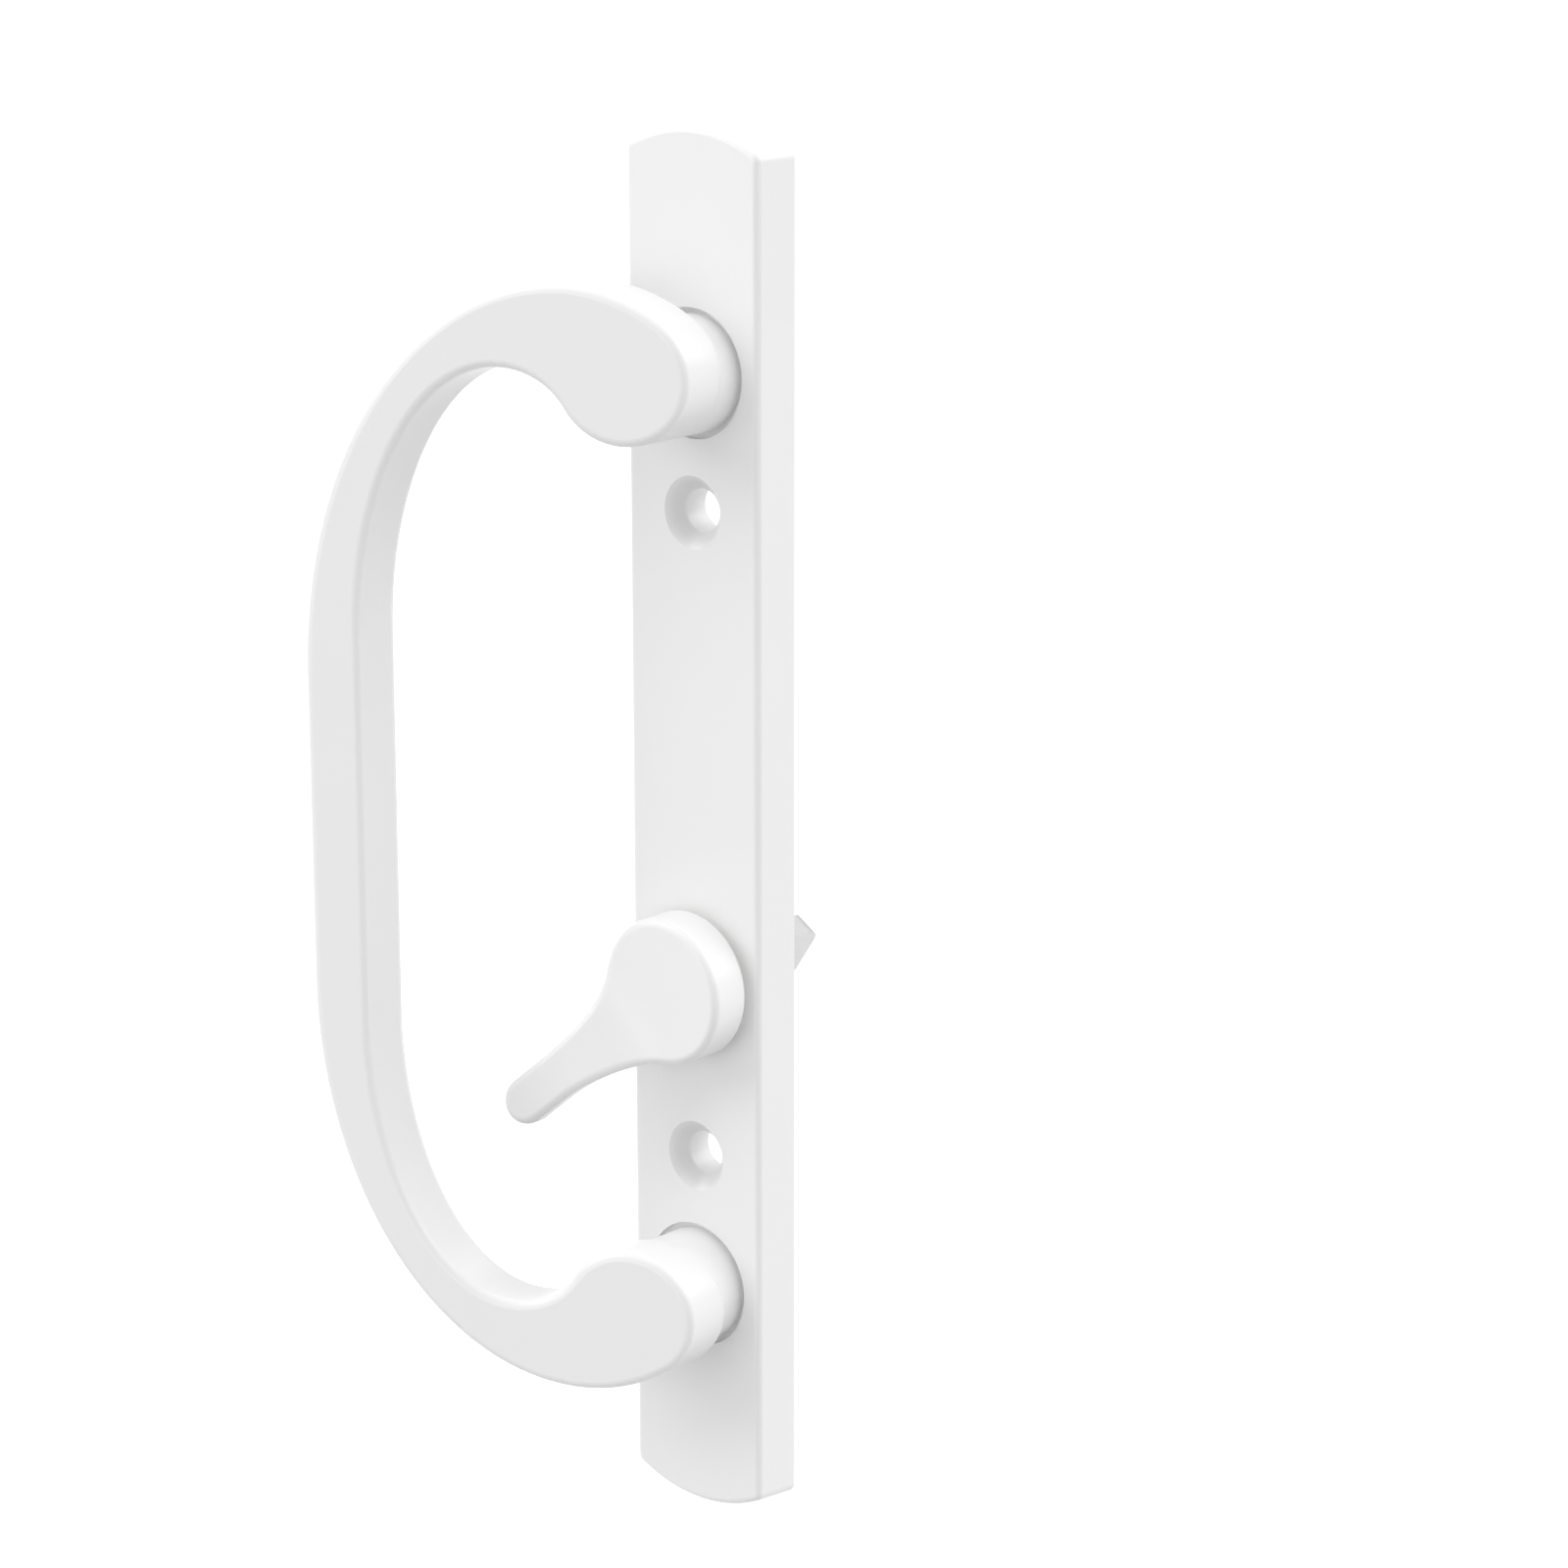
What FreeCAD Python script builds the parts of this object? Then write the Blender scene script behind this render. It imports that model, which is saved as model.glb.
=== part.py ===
import FreeCAD, Part
import math
import os
import re
import Sketcher

# Sliding patio door handle, inside half, white painted die castings.
# Millimetres, +Z up, X to the right as seen from the room, +Y into the door.
# The origin lies on the face of the door, midway between the two mounting holes.
# A depth is measured from the face of the door towards the room, so it runs along -Y.

# Driving dimensions: alias, value and what it sets, each in millimetres or degrees.
SIZES = [
    ("plate_width", 25.2, "width of the plate's front face"),
    ("plate_draft", 1.15, "how much each side wall flares out from front to back"),
    ("plate_depth", 7.0, "front face of the plate to the door"),
    ("plate_straight", 206.4, "length of the front face's straight sides"),
    ("plate_end_draft", 0.15, "how much each end flares out from front to back"),
    ("plate_arch", 3.4, "rise of each arched end"),
    ("plate_corner", 1.6, "rounding of the four upright corners"),
    ("plate_edge", 1.0, "rounding round the front face"),
    ("wall", 1.3, "side wall of the hollow plate"),
    ("face_wall", 1.8, "front wall of the hollow plate"),
    ("inner_corner", 0.8, "rounding of the hollow's four corners"),
    ("mount_spacing", 100.0, "mounting hole to mounting hole"),
    ("mount_hole", 3.25, "radius of a mounting hole"),
    ("mount_sink", 5.5, "radius of a countersink at the front face"),
    ("mount_sink_depth", 2.4, "depth of a countersink"),
    ("mount_boss", 7.05, "radius of the boss round a mounting hole"),
    ("mount_boss_gap", 0.45, "rear end of that boss to the door"),
    ("post_spacing", 141.4, "post to post of the pull handle"),
    ("post_radius", 8.75, "radius of a post"),
    ("seat_depth", 1.0, "depth of the round seat that takes a post"),
    ("seat_gap", 0.95, "gap round a post in its seat"),
    ("upper_ring", 11.2, "radius of the rear ring behind the upper post"),
    ("lower_ring", 10.45, "radius of the rear ring behind the lower post"),
    ("ring_gap", 0.7, "rear end of a ring to the door"),
    ("screw_pocket", 6.5, "radius of the pocket for a pull screw's head"),
    ("screw_pocket_floor", 5.3, "radius of that pocket at its conical floor"),
    ("screw_pocket_step", 1.2, "height of the cone at the pocket's floor"),
    ("screw_seat", 3.9, "depth at which a pull screw's head sits"),
    ("screw_hole_gap", 0.3, "radial gap round a pull screw in the plate"),
    ("screw_bore_gap", 0.03, "radial gap round a pull screw in its post"),
    ("screw_radius", 2.4, "radius of a pull screw's shank"),
    ("screw_length", 14.0, "length of a pull screw's shank"),
    ("screw_head", 4.75, "radius of a pull screw's pan head"),
    ("screw_head_height", 2.9, "height of the pan head"),
    ("screw_head_round", 1.6, "rounding of the pan head"),
    ("cross_span", 5.0, "width over the cross recess at its mouth"),
    ("cross_slot", 1.1, "width of one slot of the cross recess"),
    ("cross_depth", 2.0, "depth of the cross recess"),
    ("cross_tip", 0.35, "width of the cross recess at its floor, as a share of its mouth"),
    ("web_thickness", 1.6, "thickness of a web from a boss to the side walls"),
    ("web_height", 3.2, "height of a mounting boss's web above the hollow's floor"),
    ("thumb_web_height", 1.5, "height of the web through the thumb-turn's boss"),
    ("pin_mark_radius", 2.0, "radius of an ejector pin's mark"),
    ("pin_mark_depth", 0.25, "depth of an ejector pin's mark"),
    ("pin_mark_inset", 6.0, "mark to the end of the straight sides"),
    ("pin_mark_side", 6.5, "mark to the middle of the plate"),
    ("pull_reach", 15.0, "front of the pull handle above the plate's face, at the posts"),
    ("pull_tilt", 19.6, "angle by which the pull handle's plane leaves the plate's"),
    ("pull_depth", 9.0, "thickness of the pull handle, measured square to the plate"),
    ("pull_end", 10.1, "radius of the round ends over the posts"),
    ("pull_end_side", 0.8, "centre of a round end beside its post, towards the grip"),
    ("pull_end_rise", 1.1, "centre of a round end beyond its post, away from the other post"),
    ("pull_round", 1.3, "rounding of the pull handle's edges"),
    ("grip_outer", 49.6, "post to the outer side of the grip"),
    ("grip_width", 8.8, "width of the grip"),
    ("grip_outer_straight", 24.0, "half of the straight stretch of the outer side"),
    ("grip_inner_straight", 30.0, "half of the straight stretch of the inner side"),
    ("shoulder_side", 9.5, "post to the top of the outer curve"),
    ("shoulder_rise", 14.2, "post to the top of the outer curve, upwards"),
    ("arch_side", 19.0, "post to the top of the inner curve"),
    ("arch_rise", 1.4, "post to the top of the inner curve, upwards"),
    ("post_overlap", 10.5, "length of a post above the plate's face, into the pull handle"),
    ("bore_spare", 0.8, "depth of a post's bore beyond the screw's tip"),
    ("thumb_drop", 22.0, "thumb-turn's axis below the origin"),
    ("lever_angle", 45.5, "direction of the lever, from straight down towards the grip"),
    ("thumb_gap", 1.5, "knob to the plate's face"),
    ("knob_radius", 11.2, "radius of the knob"),
    ("knob_face", 8.0, "knob's flat face above the plate's face"),
    ("knob_round", 1.2, "rounding of the knob and the lever in front"),
    ("lever_half_width", 3.65, "half of the lever's width"),
    ("lever_length", 27.0, "axis to the centre of the lever's round tip"),
    ("lever_blend", 24.0, "radius of the hollow curves from knob to lever"),
    ("lever_rise", 3.8, "axis to the place where the front begins to rise into the lever"),
    ("lever_heel", 9.0, "axis to the place where the back leaves the knob"),
    ("lever_middle", 17.0, "axis to the lever's middle"),
    ("lever_middle_front", 13.9, "front of the lever's middle above the plate's face"),
    ("lever_middle_back", 9.8, "back of the lever's middle above the plate's face"),
    ("lever_slope", 0.42, "rise of the lever's tip along its length"),
    ("lever_tip_front", 19.3, "front of the lever's tip above the plate's face"),
    ("lever_tip_back", 15.6, "back of the lever's tip above the plate's face"),
    ("hub_radius", 7.0, "radius of the thumb-turn's hub"),
    ("hub_gap", 0.06, "running gap round the hub"),
    ("hub_end_gap", 0.2, "rear end of the hub to the door"),
    ("groove_depth", 0.65, "depth of the retaining ring's groove"),
    ("groove_gap", 0.05, "play of the retaining ring in its groove, each side"),
    ("thumb_boss", 9.4, "radius of the boss round the hub"),
    ("thumb_boss_gap", 3.4, "rear end of that boss to the door"),
    ("thrust_radius", 10.0, "outer radius of the thrust washer under the knob"),
    ("washer_gap", 0.2, "gap round the hub inside a washer"),
    ("flat_washer_radius", 9.2, "outer radius of the flat washer"),
    ("flat_washer_thickness", 0.8, "thickness of the flat washer"),
    ("wave_thickness", 0.35, "thickness of the wave washer"),
    ("wave_height", 0.25, "rise and fall of the wave washer's waves"),
    ("wave_count", 3.0, "number of waves round the wave washer"),
    ("wave_points", 8.0, "points that draw one wave"),
    ("wave_gap", 0.02, "play of the wave washer, each side"),
    ("ring_thickness", 0.8, "thickness of the retaining ring"),
    ("ring_outer", 9.4, "outer radius of the retaining ring"),
    ("ring_clear", 7.8, "inner radius of the retaining ring between its prongs"),
    ("ring_prong", 3.0, "width of a prong of the retaining ring"),
    ("ring_prong_turn", 110.0, "angle from the middle prong to each of the other two"),
    ("ring_mouth", 6.3, "half of the open mouth of the retaining ring"),
    ("ring_mouth_drop", 4.8, "axis of the ring to the start of its mouth"),
    ("tail_width", 11.0, "width of the tailpiece"),
    ("tail_thickness", 3.9, "thickness of the tailpiece"),
    ("tail_reach", 16.8, "tailpiece beyond the face of the door"),
    ("tail_turn", 12.0, "angle from the lever's direction to the tailpiece's flat"),
    ("tail_inside", 11.0, "depth of the tailpiece's inner end"),
    ("tail_corner", 2.4, "rounding of the tailpiece's end"),
    ("tail_slot_gap", 0.05, "gap round the tailpiece in the hub"),
    ("pin_radius", 1.0, "radius of the roll pin through the hub"),
    ("pin_wall", 0.35, "wall of the roll pin"),
    ("pin_slit", 0.5, "slit of the roll pin"),
    ("pin_gap", 0.02, "gap round the roll pin"),
    ("pin_depth", 5.4, "depth of the roll pin's axis"),
    ("pin_recess", 0.4, "end of the roll pin below the hub's surface"),
]

UP = FreeCAD.Vector(0, 0, 1)
# Turns an upright cylinder so that it points out of the door, towards the room.
OUTWARDS = FreeCAD.Rotation(FreeCAD.Vector(1, 0, 0), 90)
# Depth of the retaining ring's rear face: boss, flat washer, wave washer and ring in a stack.
RING_DEPTH = ("thumb_boss_gap - flat_washer_thickness - wave_thickness"
              " - 2 * wave_height - 2 * wave_gap - ring_thickness")
# How far a cutting tool reaches beyond what it cuts.
MARGIN = 1.0
# Two places nearer than this count as one.
TOUCH = 0.01

doc = FreeCAD.newDocument("patio_door_handle")
sheet = doc.addObject("Spreadsheet::Sheet", "sizes")
for row, (alias, value, meaning) in enumerate(SIZES, start=1):
    sheet.set("A%d" % row, alias)
    sheet.set("B%d" % row, str(value))
    sheet.setAlias("B%d" % row, alias)
    sheet.set("C%d" % row, meaning)
doc.recompute()
CELLS = {alias: "sizes." + alias for alias, value, meaning in SIZES}


def bound(expression):
    """Writes the aliases of an expression as cells of the sheet."""
    return re.sub(r"[a-z][a-z_]+", lambda word: CELLS.get(word.group(), word.group()), expression)


def value_of(expression):
    """The number that an expression of aliases stands for."""
    return float(sheet.evalExpression(bound(expression)))


def bind(thing, prop, expression):
    thing.setExpression(prop, bound(expression))


def size(alias):
    return float(sheet.get(alias))


def make_body(name):
    body = doc.addObject("PartDesign::Body", name)
    body.Label = name
    return body


def attach(feature, body, depth="0", height="0", side="0", role="XZ_Plane"):
    """Puts a feature on its body's own upright plane, at a depth towards the room."""
    plane = next(item for item in body.Origin.OriginFeatures if item.Role == role)
    feature.AttachmentSupport = [(plane, "")]
    feature.MapMode = "FlatFace"
    bind(feature, ".AttachmentOffset.Base.x", side)
    bind(feature, ".AttachmentOffset.Base.y", height)
    bind(feature, ".AttachmentOffset.Base.z", depth)


def round_feature(body, kind, name, radius, length, depth, height="0", side="0"):
    """A cylinder of a body, added or cut, from a depth towards the room."""
    feature = body.newObject("PartDesign::%sCylinder" % kind, name)
    feature.Refine = False
    attach(feature, body, depth, height, side)
    bind(feature, "Radius", radius)
    bind(feature, "Height", length)
    return feature


def cone_feature(body, kind, name, rear_radius, front_radius, length, depth, height="0"):
    feature = body.newObject("PartDesign::%sCone" % kind, name)
    feature.Refine = False
    attach(feature, body, depth, height)
    bind(feature, "Radius1", rear_radius)
    bind(feature, "Radius2", front_radius)
    bind(feature, "Height", length)
    return feature


def signed_distance(sketch, kind, geometry, point, expression):
    """Sets a point's distance from the sketch's origin, to either side of it."""
    value = value_of(expression)
    if value >= 0:
        ends = (-1, 1, geometry, point)
    else:
        ends = (geometry, point, -1, 1)
        expression = "0 - ( %s )" % expression
    index = sketch.addConstraint(Sketcher.Constraint(kind, *ends, abs(value)))
    bind(sketch, "Constraints[%d]" % index, expression)


def arched_sketch(body, name, depth, half_width, half_length, rise):
    """Outline with straight sides and an arc at each end."""
    sketch = body.newObject("Sketcher::SketchObject", name)
    attach(sketch, body, depth)
    wide = value_of(half_width)
    long = value_of(half_length)
    high = value_of(rise)
    point = FreeCAD.Vector
    right = sketch.addGeometry(Part.LineSegment(point(wide, -long, 0), point(wide, long, 0)))
    top = sketch.addGeometry(
        Part.Arc(point(wide, long, 0), point(0, long + high, 0), point(-wide, long, 0)))
    left = sketch.addGeometry(Part.LineSegment(point(-wide, long, 0), point(-wide, -long, 0)))
    bottom = sketch.addGeometry(
        Part.Arc(point(-wide, -long, 0), point(0, -long - high, 0), point(wide, -long, 0)))
    for first, second in ((right, top), (top, left), (left, bottom), (bottom, right)):
        sketch.addConstraint(Sketcher.Constraint("Coincident", first, 2, second, 1))
    for line, across in ((right, half_width), (left, "0 - ( %s )" % half_width)):
        sketch.addConstraint(Sketcher.Constraint("Vertical", line))
        signed_distance(sketch, "DistanceX", line, 1, across)
    for line, start in ((right, "0 - ( %s )" % half_length), (left, half_length)):
        signed_distance(sketch, "DistanceY", line, 1, start)
        signed_distance(sketch, "DistanceY", line, 2, "0 - ( %s )" % start)
    radius = "( ( %s ) ^ 2 + ( %s ) ^ 2 ) / ( 2 * ( %s ) )" % (half_width, rise, rise)
    for arc in (top, bottom):
        index = sketch.addConstraint(Sketcher.Constraint("Radius", arc, value_of(radius)))
        bind(sketch, "Constraints[%d]" % index, radius)
    return sketch


def edges_where(shape, test):
    """Names of the edges whose centre of gravity passes a test."""
    return ["Edge%d" % number for number, edge in enumerate(shape.Edges, start=1) if test(edge)]


def round_edges(body, base, name, names, radius):
    fillet = body.newObject("PartDesign::Fillet", name)
    fillet.Base = (base, names)
    bind(fillet, "Radius", radius)
    doc.recompute()
    return fillet


def runs_along_depth(edge):
    """True for an edge from the door towards the room, upright walls and ends apart."""
    reach = edge.BoundBox
    return reach.YLength > 0.5 * size("plate_depth") and reach.ZLength < size("plate_depth")


def plate_shell(body):
    """Tapered, arched tray: outer form, its roundings and the hollow."""
    half = "plate_width / 2"
    long = "plate_straight / 2"
    back = arched_sketch(body, "outer_back", "0", half + " + plate_draft",
                         long + " + plate_end_draft", "plate_arch")
    front = arched_sketch(body, "outer_front", "plate_depth", half, long, "plate_arch")
    outer = body.newObject("PartDesign::AdditiveLoft", "outer_form")
    outer.Profile = back
    outer.Sections = [front]
    outer.Ruled = True
    doc.recompute()
    corners = edges_where(outer.Shape, runs_along_depth)
    corner_round = round_edges(body, outer, "corner_round", corners, "plate_corner")
    face_y = -size("plate_depth")
    rim = edges_where(corner_round.Shape, lambda edge: abs(edge.CenterOfMass.y - face_y) < TOUCH)
    round_edges(body, corner_round, "face_round", rim, "plate_edge")
    hollow_back = arched_sketch(body, "hollow_back", "0", half + " + plate_draft - wall",
                                long + " + plate_end_draft - wall", "plate_arch")
    hollow_front = arched_sketch(body, "hollow_front", "plate_depth - face_wall",
                                 half + " - wall", long + " - wall", "plate_arch")
    hollow = body.newObject("PartDesign::SubtractiveLoft", "hollow")
    hollow.Profile = hollow_back
    hollow.Sections = [hollow_front]
    hollow.Ruled = True
    doc.recompute()

    def inner_corner(edge):
        inside = size("plate_width") / 2 + size("plate_draft") - size("wall") / 2
        near_side = abs(edge.CenterOfMass.x) < inside
        reach = edge.BoundBox
        deep = reach.YLength > (size("plate_depth") - size("face_wall")) / 2
        return near_side and deep and reach.ZLength < size("plate_depth") and reach.YMax > -TOUCH

    corners = edges_where(hollow.Shape, inner_corner)
    round_edges(body, hollow, "hollow_round", corners, "inner_corner")


def plate_web(body, name, height, rise):
    """Rib across the hollow, through a boss, from one side wall to the other."""
    web = body.newObject("PartDesign::AdditiveBox", name)
    web.Refine = False
    half_span = "plate_width / 2 + plate_draft / 2 - wall / 2"
    attach(web, body, "plate_depth - face_wall - " + rise, height + " - web_thickness / 2",
           "0 - ( %s )" % half_span)
    bind(web, "Length", "2 * ( %s )" % half_span)
    bind(web, "Width", "web_thickness")
    bind(web, "Height", rise)


def mounting_hole(body, name, height):
    round_feature(body, "Additive", name + "_boss", "mount_boss",
                  "plate_depth - face_wall - mount_boss_gap", "mount_boss_gap", height)
    plate_web(body, name + "_web", height, "web_height")
    round_feature(body, "Subtractive", name + "_hole", "mount_hole", "plate_depth", "0", height)
    cone_feature(body, "Subtractive", name + "_sink", "mount_hole", "mount_sink",
                 "mount_sink_depth", "plate_depth - mount_sink_depth", height)


def post_seat(body, name, height, ring):
    """Ring behind a post, pocket for the screw's head and seat in the face for the post."""
    round_feature(body, "Additive", name + "_ring", ring,
                  "plate_depth - face_wall - ring_gap", "ring_gap", height)
    round_feature(body, "Subtractive", name + "_pocket", "screw_pocket",
                  "screw_seat - screw_pocket_step", "0", height)
    cone_feature(body, "Subtractive", name + "_pocket_cone", "screw_pocket",
                 "screw_pocket_floor", "screw_pocket_step",
                 "screw_seat - screw_pocket_step", height)
    round_feature(body, "Subtractive", name + "_screw_hole", "screw_radius + screw_hole_gap",
                  "plate_depth", "0", height)
    round_feature(body, "Subtractive", name + "_seat", "post_radius + seat_gap",
                  "seat_depth", "plate_depth - seat_depth", height)


def escutcheon_plate():
    body = make_body("escutcheon_plate")
    plate_shell(body)
    mounting_hole(body, "upper_mount", "mount_spacing / 2")
    mounting_hole(body, "lower_mount", "0 - mount_spacing / 2")
    post_seat(body, "upper_post", "post_spacing / 2", "upper_ring")
    post_seat(body, "lower_post", "0 - post_spacing / 2", "lower_ring")
    round_feature(body, "Additive", "thumb_boss_ring", "thumb_boss",
                  "plate_depth - face_wall - thumb_boss_gap", "thumb_boss_gap", "0 - thumb_drop")
    plate_web(body, "thumb_web", "0 - thumb_drop", "thumb_web_height")
    round_feature(body, "Subtractive", "thumb_bore", "hub_radius + hub_gap", "plate_depth", "0",
                  "0 - thumb_drop")
    for end, sign in (("upper", ""), ("lower", "0 - ")):
        for side, turn in (("right", ""), ("left", "0 - ")):
            height = sign + "( plate_straight / 2 - pin_mark_inset )"
            round_feature(body, "Subtractive", "%s_%s_mark" % (end, side), "pin_mark_radius",
                          "pin_mark_depth", "plate_depth - face_wall", height,
                          turn + "pin_mark_side")
    return body


def quarter_ellipse(centre, across, up):
    """Arc of an upright ellipse, from its left-hand side to its top."""
    curve = Part.Ellipse(centre, max(across, up), min(across, up))
    curve.Axis = FreeCAD.Vector(0, -1, 0)
    curve.XAxis = UP if up > across else FreeCAD.Vector(-1, 0, 0)
    side = centre + FreeCAD.Vector(-across, 0, 0)
    top = centre + UP * up
    first = curve.parameter(side)
    last = curve.parameter(top)
    if last < first:
        first, last = last, first
    if last - first > math.pi:
        first, last = last, first + 2 * math.pi
    return Part.ArcOfEllipse(curve, first, last).toShape()


def arc_through(centre, radius, start, end):
    """Circular arc in the upright plane between two directions, in degrees from +X to +Z."""
    def at(angle):
        turn = math.radians(angle)
        return centre + FreeCAD.Vector(math.cos(turn), 0, math.sin(turn)) * radius
    return Part.Arc(at(start), at((start + end) / 2), at(end)).toShape()


def direction(start, end):
    return math.degrees(math.atan2(end.z - start.z, end.x - start.x))


def pull_outline():
    """Upper half of the pull handle's outline, seen from the front, and its mirror image."""
    point = FreeCAD.Vector
    post_z = size("post_spacing") / 2
    end = size("pull_end")
    end_side = size("pull_end_side")
    end_rise = size("pull_end_rise")
    end_centre = point(-end_side, 0, post_z + end_rise)
    outer_x = -size("grip_outer")
    inner_x = outer_x + size("grip_width")
    outer_z = size("grip_outer_straight")
    inner_z = size("grip_inner_straight")
    shoulder = point(-size("shoulder_side"), 0, post_z + size("shoulder_rise"))
    arch = point(-size("arch_side"), 0, post_z + size("arch_rise"))
    # The arc over the post touches the round end from outside, and starts level at the shoulder.
    side = size("shoulder_side") - end_side
    rise = size("shoulder_rise") - end_rise
    crown_radius = (side ** 2 + rise ** 2 - end ** 2) / (2 * (rise - end))
    crown = shoulder - UP * crown_radius
    # The arc under the arm starts level at the top of the arch and runs into the round end.
    reach = size("arch_side") - end_side
    climb = size("arch_rise") - end_rise
    hollow_radius = (reach ** 2 + climb ** 2 - end ** 2) / (2 * (climb + end))
    hollow = arch - UP * hollow_radius
    crown_turn = direction(crown, end_centre)
    hollow_turn = direction(hollow, end_centre)
    edges = [
        Part.LineSegment(point(outer_x, 0, 0), point(outer_x, 0, outer_z)).toShape(),
        quarter_ellipse(point(shoulder.x, 0, outer_z), shoulder.x - outer_x,
                        shoulder.z - outer_z),
        arc_through(crown, crown_radius, 90, crown_turn),
        arc_through(end_centre, end, crown_turn, hollow_turn - 180),
        arc_through(hollow, hollow_radius, hollow_turn, 90),
        quarter_ellipse(point(arch.x, 0, inner_z), arch.x - inner_x, arch.z - inner_z),
        Part.LineSegment(point(inner_x, 0, inner_z), point(inner_x, 0, 0)).toShape(),
    ]
    mirrored = [edge.mirror(point(0, 0, 0), UP) for edge in edges]
    wire = Part.Wire(Part.__sortEdges__(edges + mirrored))
    return Part.Face(wire)


def rod(name, radius, depth, length, height="0"):
    """Cylinder from a depth towards the room."""
    cylinder = doc.addObject("Part::Cylinder", name)
    bind(cylinder, "Radius", radius)
    bind(cylinder, "Height", length)
    cylinder.Placement = FreeCAD.Placement(FreeCAD.Vector(), OUTWARDS)
    bind(cylinder, ".Placement.Base.y", "0 - ( %s )" % depth)
    bind(cylinder, ".Placement.Base.z", height)
    return cylinder


def block(name, width, length, up, corner):
    """Box with its sizes along X, Y and Z and its lowest corner, as expressions."""
    box = doc.addObject("Part::Box", name)
    for prop, expression in zip(("Length", "Width", "Height"), (width, length, up)):
        bind(box, prop, expression)
    for axis, expression in zip("xyz", corner):
        bind(box, ".Placement.Base." + axis, expression)
    return box


def cut(name, base, *tools):
    for number, tool in enumerate(tools, start=1):
        step_name = name if number == len(tools) else "%s_%d" % (name, number)
        result = doc.addObject("Part::Cut", step_name)
        result.Base = base
        result.Tool = tool
        base = result
    return base


def fuse(name, *shapes):
    result = doc.addObject("Part::MultiFuse", name)
    result.Shapes = list(shapes)
    result.Refine = True
    return result


def common(name, base, tool):
    result = doc.addObject("Part::Common", name)
    result.Base = base
    result.Tool = tool
    return result


def rounded(name, base, radius, test):
    """Rounds the edges of a shape that pass a test."""
    doc.recompute()
    result = doc.addObject("Part::Fillet", name)
    result.Base = base
    result.Edges = [(number, radius, radius)
                    for number, edge in enumerate(base.Shape.Edges, start=1) if test(edge)]
    return result


def drawn(name, shape):
    """A shape worked out from the sheet."""
    feature = doc.addObject("Part::Feature", name)
    feature.Shape = shape
    return feature


def extruded(name, face, vector, length):
    result = doc.addObject("Part::Extrusion", name)
    result.Base = face
    result.DirMode = "Custom"
    result.Dir = vector
    result.Solid = True
    bind(result, "LengthFwd", length)
    return result


def runs_across(edge):
    """True for an edge that doesn't run straight from front to back."""
    reach = edge.BoundBox
    return reach.XLength > TOUCH or reach.ZLength > TOUCH


def pull_handle():
    """C-shaped casting on a tilted plane, with two posts and their blind bores."""
    outline = drawn("pull_outline", pull_outline())
    blank = extruded("pull_blank", outline, FreeCAD.Vector(0, -1, 0),
                     "plate_depth + pull_reach + grip_outer")
    slab = doc.addObject("Part::Box", "pull_slab")
    half_length = "grip_outer * 2"
    bind(slab, "Length", "2 * ( %s )" % half_length)
    bind(slab, "Width", "pull_depth * cos(pull_tilt * 1 deg)")
    bind(slab, "Height", "plate_straight")
    slab.Placement = FreeCAD.Placement(FreeCAD.Vector(), FreeCAD.Rotation(UP, size("pull_tilt")))
    bind(slab, ".Placement.Rotation.Angle", "pull_tilt")
    bind(slab, ".Placement.Base.x", "0 - ( %s ) * cos(pull_tilt * 1 deg)" % half_length)
    bind(slab, ".Placement.Base.y",
         "0 - plate_depth - pull_reach - ( %s ) * sin(pull_tilt * 1 deg)" % half_length)
    bind(slab, ".Placement.Base.z", "0 - plate_straight / 2")
    bow = common("pull_bow", blank, slab)
    bow = rounded("pull_bow_rounded", bow, size("pull_round"), runs_across)
    posts = []
    bores = []
    foot = "plate_depth - seat_depth"
    for side, sign in (("upper", ""), ("lower", "0 - ")):
        height = sign + "post_spacing / 2"
        posts.append(rod(side + "_post", "post_radius", foot, "seat_depth + post_overlap", height))
        bores.append(rod(side + "_post_bore", "screw_radius + screw_bore_gap", foot,
                         "screw_seat + screw_length + bore_spare - ( %s )" % foot, height))
    body = fuse("pull_body", bow, *posts)
    return cut("pull_handle", body, *bores)


def pull_screw(name, height):
    """Pan-head screw with a cross recess, its head on the door's side."""
    head = rod(name + "_head_blank", "screw_head", "screw_seat - screw_head_height",
               "screw_head_height", height)
    top_y = -value_of("screw_seat - screw_head_height")

    def is_crown(edge):
        return abs(edge.CenterOfMass.y - top_y) < TOUCH and edge.BoundBox.XLength > TOUCH

    head = rounded(name + "_head", head, size("screw_head_round"), is_crown)
    shank = rod(name + "_shank", "screw_radius", "screw_seat", "screw_length", height)
    body = fuse(name + "_body", head, shank)
    recess = drawn(name + "_recess", cross_recess(value_of(height)))
    return cut(name, body, recess)


def cross_recess(height):
    """Two tapered slots that cross, cut into a screw's head from the door's side."""
    mouth = -value_of("screw_seat - screw_head_height")
    span = size("cross_span") / 2
    slot = size("cross_slot") / 2
    depth = size("cross_depth")
    tip = size("cross_tip")
    shapes = []
    for wide, thin in ((span, slot), (slot, span)):
        loops = []
        for share, y in ((1.0, mouth + TOUCH), (tip, mouth - depth)):
            half_x = wide * share if wide > thin else wide
            half_z = thin * share if thin > wide else thin
            corners = [FreeCAD.Vector(x, y, height + z) for x, z in
                       ((-half_x, -half_z), (half_x, -half_z), (half_x, half_z), (-half_x, half_z))]
            loops.append(Part.makePolygon(corners + corners[:1]))
        shapes.append(Part.makeLoft(loops, True, True))
    return shapes[0].fuse(shapes[1])


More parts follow.
